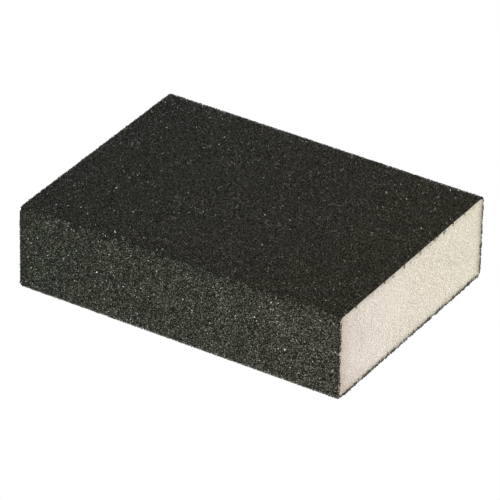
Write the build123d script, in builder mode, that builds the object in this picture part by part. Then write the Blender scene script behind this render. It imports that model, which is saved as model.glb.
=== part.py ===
from build123d import *
import os

# A sanding sponge, in millimetres: a block of resilient foam, coated with abrasive grit
# on its two broad faces and its two long sides. The coat runs on over the long edges.
# The block was cut to length after coating, so both ends are bare foam, framed by the
# cut edge of the coat.
#
# Frame: X along the length, Y across, +Z up. The origin is the middle of the underside.

# Driving dimensions
foam_length = 100.0  # cut end to cut end, and the length of the coat too
foam_width = 74.0
foam_height = 24.5
foam_edge_radius = 1.5  # the long edges only: the cut ends stay sharp
coat_thickness = 0.5  # coarse grain and the resin that holds it

# The coat is laid on the foam, so its outside follows the foam's size
coated_width = foam_width + 2 * coat_thickness
coated_height = foam_height + 2 * coat_thickness
coated_edge_radius = foam_edge_radius + coat_thickness

# Both profiles stand on the left cut end, about the middle of the block's height
left_end = Plane(
    origin=(-foam_length / 2, 0, coated_height / 2),
    x_dir=(0, 1, 0),
    z_dir=(1, 0, 0),
)

with BuildPart() as foam_block:
    with BuildSketch(left_end):
        RectangleRounded(foam_width, foam_height, foam_edge_radius)
    extrude(amount=foam_length)

with BuildPart() as abrasive_coat:
    with BuildSketch(left_end):
        RectangleRounded(coated_width, coated_height, coated_edge_radius)
        RectangleRounded(foam_width, foam_height, foam_edge_radius, mode=Mode.SUBTRACT)
    extrude(amount=foam_length)

foam_block.part.label = "foam_block"
abrasive_coat.part.label = "abrasive_coat"

os.makedirs("parts", exist_ok=True)
export_step(foam_block.part, "parts/foam_block.step")
export_step(abrasive_coat.part, "parts/abrasive_coat.step")
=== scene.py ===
import math

import bmesh
import bpy
from mathutils import Matrix, Vector, noise


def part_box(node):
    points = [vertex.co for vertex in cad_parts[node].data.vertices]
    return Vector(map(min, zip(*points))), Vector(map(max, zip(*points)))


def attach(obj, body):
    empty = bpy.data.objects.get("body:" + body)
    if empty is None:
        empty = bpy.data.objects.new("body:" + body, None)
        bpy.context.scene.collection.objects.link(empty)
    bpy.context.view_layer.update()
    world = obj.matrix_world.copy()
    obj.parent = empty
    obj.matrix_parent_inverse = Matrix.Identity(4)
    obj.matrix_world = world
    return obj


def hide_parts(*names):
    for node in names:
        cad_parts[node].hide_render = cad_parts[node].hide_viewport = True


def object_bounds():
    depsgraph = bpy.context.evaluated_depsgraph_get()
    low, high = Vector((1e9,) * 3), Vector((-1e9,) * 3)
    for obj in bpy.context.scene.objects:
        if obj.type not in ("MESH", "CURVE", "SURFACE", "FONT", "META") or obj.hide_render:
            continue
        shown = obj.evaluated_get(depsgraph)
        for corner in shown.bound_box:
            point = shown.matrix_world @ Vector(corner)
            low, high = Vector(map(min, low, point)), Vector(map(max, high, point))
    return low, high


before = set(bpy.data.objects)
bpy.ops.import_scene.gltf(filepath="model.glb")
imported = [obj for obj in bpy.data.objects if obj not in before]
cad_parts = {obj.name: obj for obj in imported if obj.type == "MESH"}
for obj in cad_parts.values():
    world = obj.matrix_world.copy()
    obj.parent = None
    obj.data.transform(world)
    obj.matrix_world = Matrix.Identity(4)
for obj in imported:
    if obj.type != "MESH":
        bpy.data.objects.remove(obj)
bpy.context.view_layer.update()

# ---- The foam block ---------------------------------------------------------------
# Resilient polyurethane foam, foamed as a slab with cells of about half a millimetre
# and cut to length with a blade. It shows only at its two cut ends, as a matt cream
# face that is rough with the cells the blade opened.
mm = 0.001
foam_low, foam_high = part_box("foam_block")
foam_middle = (foam_low + foam_high) / 2
foam_size = foam_high - foam_low
foam_edge_radius = 1.5 * mm
cut_pitch = 0.25 * mm  # mesh on the cut ends
cell_width = 0.38 * mm
cell_depth = 0.05 * mm
pore_depth = 0.12 * mm
blade_wander = 0.08 * mm  # how far the cut strays from flat
wander_length = 14 * mm
# Dust of grit and resin lies round the cut. For each side, by axis and sign: how far it
# reaches in, and how thick it is. The blade came down from above, so the top has little.
dusted_sides = (
    (1, -1, 9.0 * mm, 0.42), (1, 1, 5.0 * mm, 1.0), (2, -1, 3.2 * mm, 1.1), (2, 1, 4.0 * mm, 0.4)
)
speck_width = 0.5 * mm  # of the dust
# the foam goes from darker and pinkish at the front to yellowish at the back, in patches
pink_from, yellow_at = -28 * mm, 50 * mm
patch_width, patch_stray = 11 * mm, 24 * mm


def linear(hex_colour):
    """An sRGB hex colour as the linear RGBA that a shader takes."""
    channels = [int(hex_colour[i : i + 2], 16) / 255 for i in (1, 3, 5)]
    return [c / 12.92 if c <= 0.04045 else ((c + 0.055) / 1.055) ** 2.4 for c in channels] + [1.0]


def add_node(tree, kind, inputs=None, **settings):
    """A node with its settings. Each input is another node's output, which is linked, or a value."""
    made = tree.nodes.new(kind)
    for name, value in settings.items():
        setattr(made, name, value)
    for name, value in (inputs or {}).items():
        if isinstance(value, bpy.types.NodeSocket):
            tree.links.new(value, made.inputs[name])
        else:
            made.inputs[name].default_value = value
    return made


def new_material(name):
    """An empty node material, with its node tree and its output node."""
    material = bpy.data.materials.new(name)
    material.use_nodes = True
    tree = material.node_tree
    tree.nodes.clear()
    return material, tree, add_node(tree, "ShaderNodeOutputMaterial")


def mesh_of(name, shape):
    """A bmesh as a mesh, and the bmesh let go."""
    mesh = bpy.data.meshes.new(name)
    shape.to_mesh(mesh)
    shape.free()
    return mesh


def finished_piece(name, mesh, material):
    """A mesh as a piece of the part, at the origin."""
    mesh.name = name
    mesh.materials.clear()
    mesh.materials.append(material)
    piece = bpy.data.objects.new(name, mesh)
    bpy.context.scene.collection.objects.link(piece)
    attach(piece, "root")
    return piece


def cut_foam():
    """The foam block: a cube cut finely across its ends only, with its long edges rounded."""
    foam = bmesh.new()
    place = Matrix.Translation(foam_middle) @ Matrix.Diagonal((*foam_size, 1))
    bmesh.ops.create_cube(foam, size=1, matrix=place)
    for axis in (1, 2):
        along = [e for e in foam.edges if abs((e.verts[0].co - e.verts[1].co)[axis]) > mm]
        cuts = round(foam_size[axis] / cut_pitch) - 1
        bmesh.ops.subdivide_edges(foam, edges=along, cuts=cuts)
    dust = foam.verts.layers.float.new("dust")
    for vert in foam.verts:
        for axis, sign, reach, share in dusted_sides:
            depth = foam_size[axis] / 2 - sign * (vert.co[axis] - foam_middle[axis])
            vert[dust] = max(vert[dust], share * max(0.0, 1 - depth / reach) ** 3)
        inside = [foam_size[i] / 2 - abs(vert.co[i] - foam_middle[i]) for i in (1, 2)]
        if max(inside) < foam_edge_radius:
            # draws the square corner, u by w, in to a quarter circle
            u, w = (1 - i / foam_edge_radius for i in inside)
            drawn = (u * math.sqrt(1 - w * w / 2), w * math.sqrt(1 - u * u / 2))
            for i in (0, 1):
                side = math.copysign(foam_edge_radius, vert.co[i + 1] - foam_middle[i + 1])
                vert.co[i + 1] += side * (drawn[i] - (u, w)[i])
    for vert in foam.verts:
        fuzz = cell_depth * noise.noise(vert.co / cell_width)
        stray = blade_wander * (noise.noise(vert.co / wander_length) - 0.3)
        vert.co.x += (fuzz + stray) * math.copysign(1, vert.co.x)
    return foam


def cut_foam_material():
    """Polyurethane foam: matt and chalky. Each opened cell is bumped in towards its middle by a
    depth of its own, and darkened as deep: painted shade, so that a few pores are dark.
    """
    material, tree, output = new_material("cut polyurethane foam")
    where = add_node(tree, "ShaderNodeTexCoord").outputs["Object"]
    cells = add_node(tree, "ShaderNodeTexVoronoi", {"Vector": where, "Scale": 1 / cell_width})
    opened = add_node(
        tree,
        "ShaderNodeMapRange",
        {
            "Value": cells.outputs["Distance"],
            "From Min": 0.2, "From Max": 0.65, "To Min": 1.0, "To Max": 0.0,
        },
        interpolation_type="SMOOTHSTEP",
    ).outputs["Result"]
    cell_depth_share = add_node(
        tree, "ShaderNodeSeparateColor", {"Color": cells.outputs["Color"]}
    ).outputs["Red"]
    # how deep each opened cell goes: both the bump and the painted shade in its pore
    pore_relief_and_painted_shade = add_node(
        tree, "ShaderNodeMath", {0: opened, 1: cell_depth_share}, operation="MULTIPLY"
    ).outputs["Value"]
    patches = add_node(
        tree, "ShaderNodeTexNoise", {"Vector": where, "Scale": 1 / patch_width, "Detail": 1.0}
    ).outputs["Fac"]
    depth = add_node(tree, "ShaderNodeSeparateXYZ", {"Vector": where}).outputs["Y"]
    strayed = add_node(
        tree, "ShaderNodeMath", {0: patches, 1: patch_stray, 2: depth}, operation="MULTIPLY_ADD"
    ).outputs["Value"]
    drift = add_node(
        tree,
        "ShaderNodeMapRange",
        {"Value": strayed, "From Min": pink_from, "From Max": yellow_at},
    ).outputs["Result"]
    front_to_back_tone = add_node(tree, "ShaderNodeValToRGB", {"Fac": drift})
    ramp = front_to_back_tone.color_ramp.elements
    ramp[0].color = linear("#dbcfc1")
    ramp.new(0.2).color = linear("#f7eee5")
    ramp[2].color = linear("#fbf4e2")
    # painted shade: the foam darkened in its pores
    pore_shaded_colour = add_node(
        tree,
        "ShaderNodeMix",
        {"Factor": pore_relief_and_painted_shade, 6: front_to_back_tone.outputs["Color"], 7: linear("#a09483")},
        data_type="RGBA",
    ).outputs[2]
    dust = add_node(tree, "ShaderNodeAttribute", attribute_name="dust").outputs["Fac"]
    specks = add_node(
        tree, "ShaderNodeTexNoise", {"Vector": where, "Scale": 1 / speck_width, "Detail": 2.0}
    ).outputs["Fac"]
    speckled = add_node(
        tree, "ShaderNodeMath", {0: dust, 1: specks}, operation="MULTIPLY"
    ).outputs["Value"]
    stain = add_node(
        tree, "ShaderNodeMapRange", {"Value": speckled, "From Max": 0.55, "To Max": 0.9}
    ).outputs["Result"]
    colour = add_node(
        tree,
        "ShaderNodeMix",
        {"Factor": stain, 6: pore_shaded_colour, 7: linear("#7b755f")},
        data_type="RGBA",
    ).outputs[2]
    bump = add_node(
        tree,
        "ShaderNodeBump",
        {"Height": pore_relief_and_painted_shade, "Strength": 0.8, "Distance": pore_depth},
        invert=True,
    ).outputs["Normal"]
    surface = add_node(
        tree,
        "ShaderNodeBsdfPrincipled",
        {"Base Color": colour, "Roughness": 0.95, "Normal": bump, "IOR": 1.45},
    ).outputs["BSDF"]
    tree.links.new(surface, output.inputs["Surface"])
    return material


foam_core = finished_piece("foam_core", mesh_of("foam_core", cut_foam()), cut_foam_material())
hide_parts("foam_block")

# ---- The resin of the coat --------------------------------------------------------
# A phenolic resin, sprayed on the foam's broad faces and long sides and cured hard. It
# is nearly black where it pools between the grains. The blade tears it a little at the
# cut ends, so its edge there is ragged.
coat_low, coat_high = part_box("abrasive_coat")
coat_middle = (coat_low + coat_high) / 2
coat_size = coat_high - coat_low
coat_thickness = (coat_size.y - foam_size.y) / 2
coat_edge_radius = foam_edge_radius + coat_thickness
resin_sink = 0.19 * mm  # how far the resin lies under the tips of the grain
resin_pitch = 0.5 * mm  # mesh round the profile
resin_stations = 50  # and along the length
resin_ripple = 0.05 * mm
ripple_length = 1.7 * mm
fines_width = 0.32 * mm  # the smallest grain, sunk in the resin
fines_height = 0.2 * mm
smeared = 0.12 * mm  # how much thicker the blade left it at the cut
fray = 0.45 * mm  # how far the blade tore the coat back or left it standing out
long_tear, short_tear = 1.6 * mm, 0.6 * mm


def add_profile_loop(shape, sink, x):
    """The coat's rounded profile, sunk by that much, as one more ring of edges at that x."""
    ring = bmesh.new()
    bmesh.ops.create_grid(ring, x_segments=1, y_segments=1, size=0.5)
    across = (coat_size.y - 2 * sink, coat_size.z - 2 * sink, 1)
    bmesh.ops.scale(ring, vec=across, verts=ring.verts)
    bmesh.ops.bevel(
        ring, geom=ring.verts[:], offset=coat_edge_radius - sink, segments=6, profile=0.5,
        affect="VERTICES", material=-1,
    )
    bmesh.ops.delete(ring, geom=ring.faces[:], context="FACES_ONLY")
    for edge in [e for e in ring.edges if e.calc_length() > resin_pitch * 1.5]:
        cuts = round(edge.calc_length() / resin_pitch) - 1
        bmesh.ops.subdivide_edges(ring, edges=[edge], cuts=cuts)
    stand = Matrix(((0, 0, 1, x), (1, 0, 0, coat_middle.y), (0, 1, 0, coat_middle.z), (0, 0, 0, 1)))
    bmesh.ops.transform(ring, matrix=stand, verts=ring.verts)
    mesh = mesh_of("ring", ring)
    shape.from_mesh(mesh)
    bpy.data.meshes.remove(mesh)


def fray_ends(shape):
    """The coat's cut ends, moved to where the blade left them, which is cleaner where it came in."""
    for vert in shape.verts:
        if abs(vert.co.x) > coat_high.x - 0.1 * mm:
            torn = noise.noise(vert.co / long_tear) + 0.5 * noise.noise(vert.co / short_tear)
            came_in = vert.co.z > coat_high.z - mm or vert.co.y < coat_low.y + mm
            back = 0.4 * torn if came_in else torn + 0.35
            vert.co.x -= math.copysign(fray * back, vert.co.x)


def coat_sleeve(sink):
    """The coat's outside, sunk by that much, as an open sleeve with its torn ends."""
    sleeve = bmesh.new()
    add_profile_loop(sleeve, sink, coat_low.x)
    add_profile_loop(sleeve, sink, coat_high.x)
    bmesh.ops.bridge_loops(sleeve, edges=sleeve.edges[:])
    along = [e for e in sleeve.edges if abs(e.verts[0].co.x - e.verts[1].co.x) > mm]
    bmesh.ops.subdivide_edges(sleeve, edges=along, cuts=resin_stations - 1)
    fray_ends(sleeve)
    bmesh.ops.recalc_face_normals(sleeve, faces=sleeve.faces)
    sleeve.normal_update()
    return sleeve


def resin_shell():
    """The resin from its rippled outside to the foam, a closed shell."""
    shell = coat_sleeve(resin_sink)
    for vert in shell.verts:
        lift = resin_ripple * noise.noise(vert.co / ripple_length)
        if vert.is_boundary:
            lift += smeared
        vert.co += vert.normal * lift
    bmesh.ops.solidify(shell, geom=shell.faces[:], thickness=coat_thickness - resin_sink)
    bmesh.ops.recalc_face_normals(shell, faces=shell.faces)
    # solidify makes the faces of the two rims in an order that changes from run to run
    shell.verts.index_update()
    shell.faces.sort(key=lambda face: sum(vert.index**2 for vert in face.verts))
    return shell


def phenolic_resin_material():
    """Cured phenolic resin, dull: each fine grain sunk in it has its own tone from black to dark
    brown, and stands up as a lump.
    """
    material, tree, output = new_material("cured phenolic resin")
    where = add_node(tree, "ShaderNodeTexCoord").outputs["Object"]
    fines = add_node(tree, "ShaderNodeTexVoronoi", {"Vector": where, "Scale": 1 / fines_width})
    shade = add_node(
        tree, "ShaderNodeSeparateColor", {"Color": fines.outputs["Color"]}
    ).outputs["Red"]
    colour = add_node(
        tree,
        "ShaderNodeMix",
        {"Factor": shade, 6: linear("#070704"), 7: linear("#22221a")},
        data_type="RGBA",
    ).outputs[2]
    lumps = add_node(
        tree, "ShaderNodeMath", {0: shade, 1: fines.outputs["Distance"]}, operation="SUBTRACT"
    ).outputs["Value"]
    bump = add_node(
        tree, "ShaderNodeBump", {"Height": lumps, "Strength": 1.0, "Distance": fines_height}
    ).outputs["Normal"]
    surface = add_node(
        tree,
        "ShaderNodeBsdfPrincipled",
        {"Base Color": colour, "Roughness": 0.75, "Normal": bump, "IOR": 1.25},
    ).outputs["BSDF"]
    tree.links.new(surface, output.inputs["Surface"])
    return material


resin_coat = finished_piece(
    "resin_coat", mesh_of("resin_coat", resin_shell()), phenolic_resin_material()
)
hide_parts("abrasive_coat")

# ---- The grain --------------------------------------------------------------------
# Black silicon carbide, crushed and sieved to a coarse grade, so that each grain is a
# sharp block of its own. It is dropped at random on the wet resin, and a thin second
# coat of resin dulls it. Drawn a quarter bigger than the real grain, which is about
# 0.3 mm, because finer grain would be too many to model.
grain_width = 0.37 * mm
grain_spacing = 0.3 * mm
grain_kinds = 8
# the palest grain changes in tint from the left end to the right, in patches, and grows lighter
# towards the right: painted light
left_until, right_from = -20 * mm, 80 * mm
tint_and_light_patch_width, tint_and_light_stray = 9 * mm, 60 * mm


def chipped_grain(seed):
    """One crushed grain a unit wide: a splinter of four facets, its corners knocked about."""
    grain = bmesh.new()
    bmesh.ops.create_cone(grain, cap_ends=True, segments=3, radius1=0.6, radius2=0, depth=0.8)
    for vert in grain.verts:
        vert.co += 0.17 * noise.noise_vector(vert.co * 3 + Vector((seed * 7.3, 0, 0)))
    return grain


def grain_material(name, darkest, left, right, dull, bare, shiny):
    """Silicon carbide under resin: dull, but for the share of the grains that is bare and glints.
    Each has its own tone, from the darkest to the palest. The palest drifts in tint from the left
    end to the right and grows lighter towards the right: painted light."""
    material, tree, output = new_material(name)
    shade = add_node(tree, "ShaderNodeAttribute", attribute_name="shade").outputs["Fac"]
    where = add_node(tree, "ShaderNodeTexCoord").outputs["Object"]
    patches = add_node(
        tree, "ShaderNodeTexNoise", {"Vector": where, "Scale": 1 / tint_and_light_patch_width, "Detail": 2.0}
    ).outputs["Fac"]
    along = add_node(tree, "ShaderNodeSeparateXYZ", {"Vector": where}).outputs["X"]
    strayed = add_node(
        tree, "ShaderNodeMath", {0: patches, 1: tint_and_light_stray, 2: along}, operation="MULTIPLY_ADD"
    ).outputs["Value"]
    # from the left end to the right: a change of tint, and painted light, lighter towards the right
    drift = add_node(
        tree,
        "ShaderNodeMapRange",
        {"Value": strayed, "From Min": left_until, "From Max": right_from},
    ).outputs["Result"]
    palest = add_node(
        tree,
        "ShaderNodeMix",
        {"Factor": drift, 6: linear(left), 7: linear(right)},
        data_type="RGBA",
    ).outputs[2]
    colour = add_node(
        tree,
        "ShaderNodeMix",
        {"Factor": shade, 6: linear(darkest), 7: palest},
        data_type="RGBA",
    ).outputs[2]
    roughness = add_node(
        tree,
        "ShaderNodeMapRange",
        {
            "Value": shade,
            "From Min": 0.995 - bare, "From Max": 1 - bare, "To Min": dull, "To Max": shiny,
        },
    ).outputs["Result"]
    surface = add_node(
        tree,
        "ShaderNodeBsdfPrincipled",
        {"Base Color": colour, "Roughness": roughness, "IOR": 1.45},
    ).outputs["BSDF"]
    tree.links.new(surface, output.inputs["Surface"])
    return material


noise.seed_set(1)  # without it the grains' corners would differ from run to run
grain_shapes = bpy.data.collections.new("grain shapes")
for kind in range(grain_kinds):
    mesh = mesh_of(f"grain shape {kind}", chipped_grain(kind))
    grain_shapes.objects.link(bpy.data.objects.new(mesh.name, mesh))


def drop_grain(name, surface_mesh, spacing, width, seed):
    """Grain dropped at random on a surface, no closer than the spacing, as one mesh. A Random
    Value node has several inputs of each name, so they are given by number."""
    tree = bpy.data.node_groups.new(name, "GeometryNodeTree")
    tree.interface.new_socket("Geometry", in_out="INPUT", socket_type="NodeSocketGeometry")
    tree.interface.new_socket("Geometry", in_out="OUTPUT", socket_type="NodeSocketGeometry")
    surface = add_node(tree, "NodeGroupInput").outputs["Geometry"]
    dropped = add_node(
        tree,
        "GeometryNodeDistributePointsOnFaces",
        {"Mesh": surface, "Distance Min": spacing, "Density Max": 3 / spacing**2, "Seed": seed},
        distribute_method="POISSON",
    ).outputs["Points"]
    number = add_node(tree, "GeometryNodeInputIndex").outputs["Index"]
    shapes = add_node(
        tree, "GeometryNodeCollectionInfo", {"Collection": grain_shapes, "Separate Children": True}
    ).outputs["Instances"]
    turn = add_node(
        tree,
        "FunctionNodeRandomValue",
        {0: (0.0, 0.0, 0.0), 1: (math.tau, math.tau, math.tau), "ID": number, "Seed": seed + 1},
        data_type="FLOAT_VECTOR",
    ).outputs[0]
    size = add_node(
        tree,
        "FunctionNodeRandomValue",
        {0: (width * 0.6,) * 3, 1: (width * 1.35,) * 3, "ID": number, "Seed": seed + 2},
        data_type="FLOAT_VECTOR",
    ).outputs[0]
    which = add_node(
        tree,
        "FunctionNodeRandomValue",
        {4: 0, 5: grain_kinds - 1, "ID": number, "Seed": seed + 3},
        data_type="INT",
    ).outputs[2]
    shade = add_node(
        tree,
        "FunctionNodeRandomValue",
        {2: 0.0, 3: 1.0, "ID": number, "Seed": seed + 4},
        data_type="FLOAT",
    ).outputs[1]
    grown = add_node(
        tree,
        "GeometryNodeInstanceOnPoints",
        {
            "Points": dropped, "Instance": shapes, "Pick Instance": True,
            "Instance Index": which, "Rotation": turn, "Scale": size,
        },
    ).outputs["Instances"]
    for label, value, kind in (("shade", shade, "FLOAT"), ("number", number, "INT")):
        grown = add_node(
            tree,
            "GeometryNodeStoreNamedAttribute",
            {"Geometry": grown, "Name": label, "Value": value},
            data_type=kind,
            domain="INSTANCE",
        ).outputs["Geometry"]
    whole = add_node(tree, "GeometryNodeRealizeInstances", {"Geometry": grown}).outputs["Geometry"]
    add_node(tree, "NodeGroupOutput", {"Geometry": whole})

    carrier = bpy.data.objects.new(name, surface_mesh)
    bpy.context.scene.collection.objects.link(carrier)
    carrier.modifiers.new("grain", "NODES").node_group = tree
    now = bpy.context.evaluated_depsgraph_get()
    grains = bpy.data.meshes.new_from_object(
        carrier.evaluated_get(now), preserve_all_data_layers=True, depsgraph=now
    )
    bpy.data.objects.remove(carrier)
    bpy.data.node_groups.remove(tree)
    give_each_grain_a_cell(grains)
    return grains


def give_each_grain_a_cell(grains):
    """A UV map for baking, in which each grain has a cell of its own in a square grid."""
    numbers = [n.value for n in grains.attributes["number"].data]
    across = math.ceil(math.sqrt(max(numbers) + 1))
    corners = ((0.15, 0.15), (0.85, 0.15), (0.5, 0.85))
    spots = grains.uv_layers.new(name="OFBake").uv
    for face in grains.polygons:
        number = numbers[face.vertices[0]]
        for corner, loop in enumerate(face.loop_indices):
            u, v = corners[corner % 3]
            spots[loop].vector = ((number % across + u) / across, (number // across + v) / across)


def side_of_coat(axis, sign):
    """The part of the coat's outside that faces one way: a broad face with a third of each
    rounded edge, or a long side with two thirds."""
    sleeve = coat_sleeve(sink=0)
    least = math.cos(math.radians(30 if axis == 2 else 60))
    others = [f for f in sleeve.faces if f.normal[axis] * sign < least]
    bmesh.ops.delete(sleeve, geom=others, context="FACES")
    return mesh_of("coated side", sleeve)


# the grain on the broad faces is duller than that on the sides, and drawn darker, less green and
# with less contrast: painted shade, a shaded copy of the same grain
side_grain = grain_material(
    "silicon carbide grain", "#050503", "#555d52", "#706f65", dull=0.42, bare=0.3, shiny=0.36
)
shaded_face_grain = grain_material(
    "silicon carbide grain under resin", "#21221e", "#3c3d39", "#454033",
    dull=0.66, bare=0.35, shiny=0.42,
)
sides = {
    "top": (2, 1, shaded_face_grain), "bottom": (2, -1, shaded_face_grain),
    "front": (1, -1, side_grain), "back": (1, 1, side_grain),
}
for seed, (side, (axis, sign, finish)) in enumerate(sides.items()):
    name = f"grit_{side}"
    grains = drop_grain(name, side_of_coat(axis, sign), grain_spacing, grain_width, 10 * seed)
    piece = finished_piece(name, grains, finish)

# ---- The crumbs along the cut -----------------------------------------------------
# Where the blade broke through the coat it left broken grain standing on the cut, most of
# all down the front edge and none along the top, and dragged a few crumbs on to the foam.
broken_width, broken_spacing = 0.6 * mm, 0.25 * mm
dragged_width, dragged_spacing = 0.42 * mm, 0.36 * mm
tear_length = 0.9 * mm
rim_width = 1.5 * mm  # how near to the top or the front counts as its rim


def cut_strip(outside, inside, bare, bare_front, bare_top):
    """A strip round both cut ends, between two depths in from the coat's outside, with those
    shares of it missing: most along the top, where the blade came in."""
    strip = bmesh.new()
    for end in (-1, 1):
        for depth, sink in ((0.16 * mm, outside), (0.02 * mm, inside)):
            add_profile_loop(strip, sink, end * (coat_high.x - depth))
    for end in (-1, 1):
        edges = [e for e in strip.edges if e.verts[0].co.x * end > 0]
        bmesh.ops.bridge_loops(strip, edges=edges)
    clean = []
    for face in strip.faces:
        middle = face.calc_center_median()
        torn = 0.5 + noise.noise(middle / tear_length)
        share = bare_front if middle.y < coat_low.y + rim_width else bare
        if middle.z > coat_high.z - rim_width:
            share = bare_top
        if torn < share:
            clean.append(face)
    bmesh.ops.delete(strip, geom=clean, context="FACES")
    return mesh_of("cut strip", strip)


rim = cut_strip(0.32 * mm, 0.8 * mm, bare=0.33, bare_front=0.0, bare_top=1.0)
smear = cut_strip(0.7 * mm, 1.4 * mm, bare=0.52, bare_front=0.8, bare_top=0.66)
broken = drop_grain("broken", rim, broken_spacing, broken_width, 50)
dragged = drop_grain("dragged", smear, dragged_spacing, dragged_width, 60)
# the crumbs take the broad faces' grain, with its painted shade
for name, grains in (("grit_cut_edges", broken), ("grit_on_foam", dragged)):
    piece = finished_piece(name, grains, shaded_face_grain)

# ---- The studio -------------------------------------------------------------------
# A white floor and a white room that are plain to the eye but light the part only a
# little, so that a warm key lamp, low and to the right, brings out the grain. A fill lamp
# behind it, lower still, lights the two sides that the key doesn't reach.
room_light = 0.1
floor_light = 0.3
lamp_distance = 3.0


def glow(tree, strength):
    """A strength that is plain white to the eye, and dimmer for what it lights."""
    seen = add_node(tree, "ShaderNodeLightPath").outputs["Is Camera Ray"]
    return add_node(
        tree, "ShaderNodeMapRange", {"Value": seen, "To Min": strength, "To Max": 1.0}
    ).outputs["Result"]


floor_mesh = bmesh.new()
bmesh.ops.create_grid(floor_mesh, x_segments=1, y_segments=1, size=3.0)
floor_paint, tree, output = new_material("white floor")
lit = add_node(
    tree, "ShaderNodeEmission", {"Color": linear("#ffffff"), "Strength": glow(tree, floor_light)}
).outputs["Emission"]
tree.links.new(lit, output.inputs["Surface"])
floor = bpy.data.objects.new("floor", mesh_of("floor", floor_mesh))
floor.data.materials.append(floor_paint)
floor.location.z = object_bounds()[0].z  # the lowest grain stands on it
bpy.context.scene.collection.objects.link(floor)

world = bpy.data.worlds.new("white room")
world.use_nodes = True
tree = world.node_tree
tree.nodes.clear()
room = add_node(
    tree, "ShaderNodeBackground", {"Color": linear("#ffffff"), "Strength": glow(tree, room_light)}
).outputs["Background"]
add_node(tree, "ShaderNodeOutputWorld", {"Surface": room})
bpy.context.scene.world = world


def direction(azimuth, elevation):
    """The way from the part to that side, in degrees round from the front and up."""
    a, e = math.radians(azimuth), math.radians(elevation)
    return Vector((math.sin(a) * math.cos(e), -math.cos(a) * math.cos(e), math.sin(e)))


def lamp(name, azimuth, elevation, size, power, colour):
    """A square lamp that looks at the part."""
    away = direction(azimuth, elevation)
    light = bpy.data.lights.new(name, "AREA")
    light.size = size
    light.energy = power
    light.color = linear(colour)[:3]
    made = bpy.data.objects.new(name, light)
    turned = away.to_track_quat("Z", "Y").to_matrix().to_4x4()
    made.matrix_world = Matrix.Translation(coat_middle + lamp_distance * away) @ turned
    bpy.context.scene.collection.objects.link(made)


lamp("key", 28, 18, 0.3, 148, "#fffdf9")
lamp("fill", 225, 3, 0.3, 75, "#ffffff")

# The camera has a long lens. It stands above and to the right of the front, tipped over
# by a degree, and looks a little to the left of the middle and below it.
camera_distance = 1.3017
away = direction(31.48, 31.57)
level = Vector((away.y, -away.x, 0)).normalized() * -1
upright = away.cross(level)
tip = math.radians(1.32)
across = level * math.cos(tip) + upright * math.sin(tip)
up = upright * math.cos(tip) - level * math.sin(tip)
aim = coat_middle - across * 0.53 * mm - up * 2.3 * mm
lens = bpy.data.cameras.new("camera")
lens.lens = 348.2
lens.sensor_width = 36
lens.clip_end = 20
camera = bpy.data.objects.new("camera", lens)
facing = Matrix((across, up, away)).transposed().to_4x4()
camera.matrix_world = Matrix.Translation(aim + away * camera_distance) @ facing
bpy.context.scene.collection.objects.link(camera)
bpy.context.scene.camera = camera
bpy.context.scene.view_settings.view_transform = "Standard"
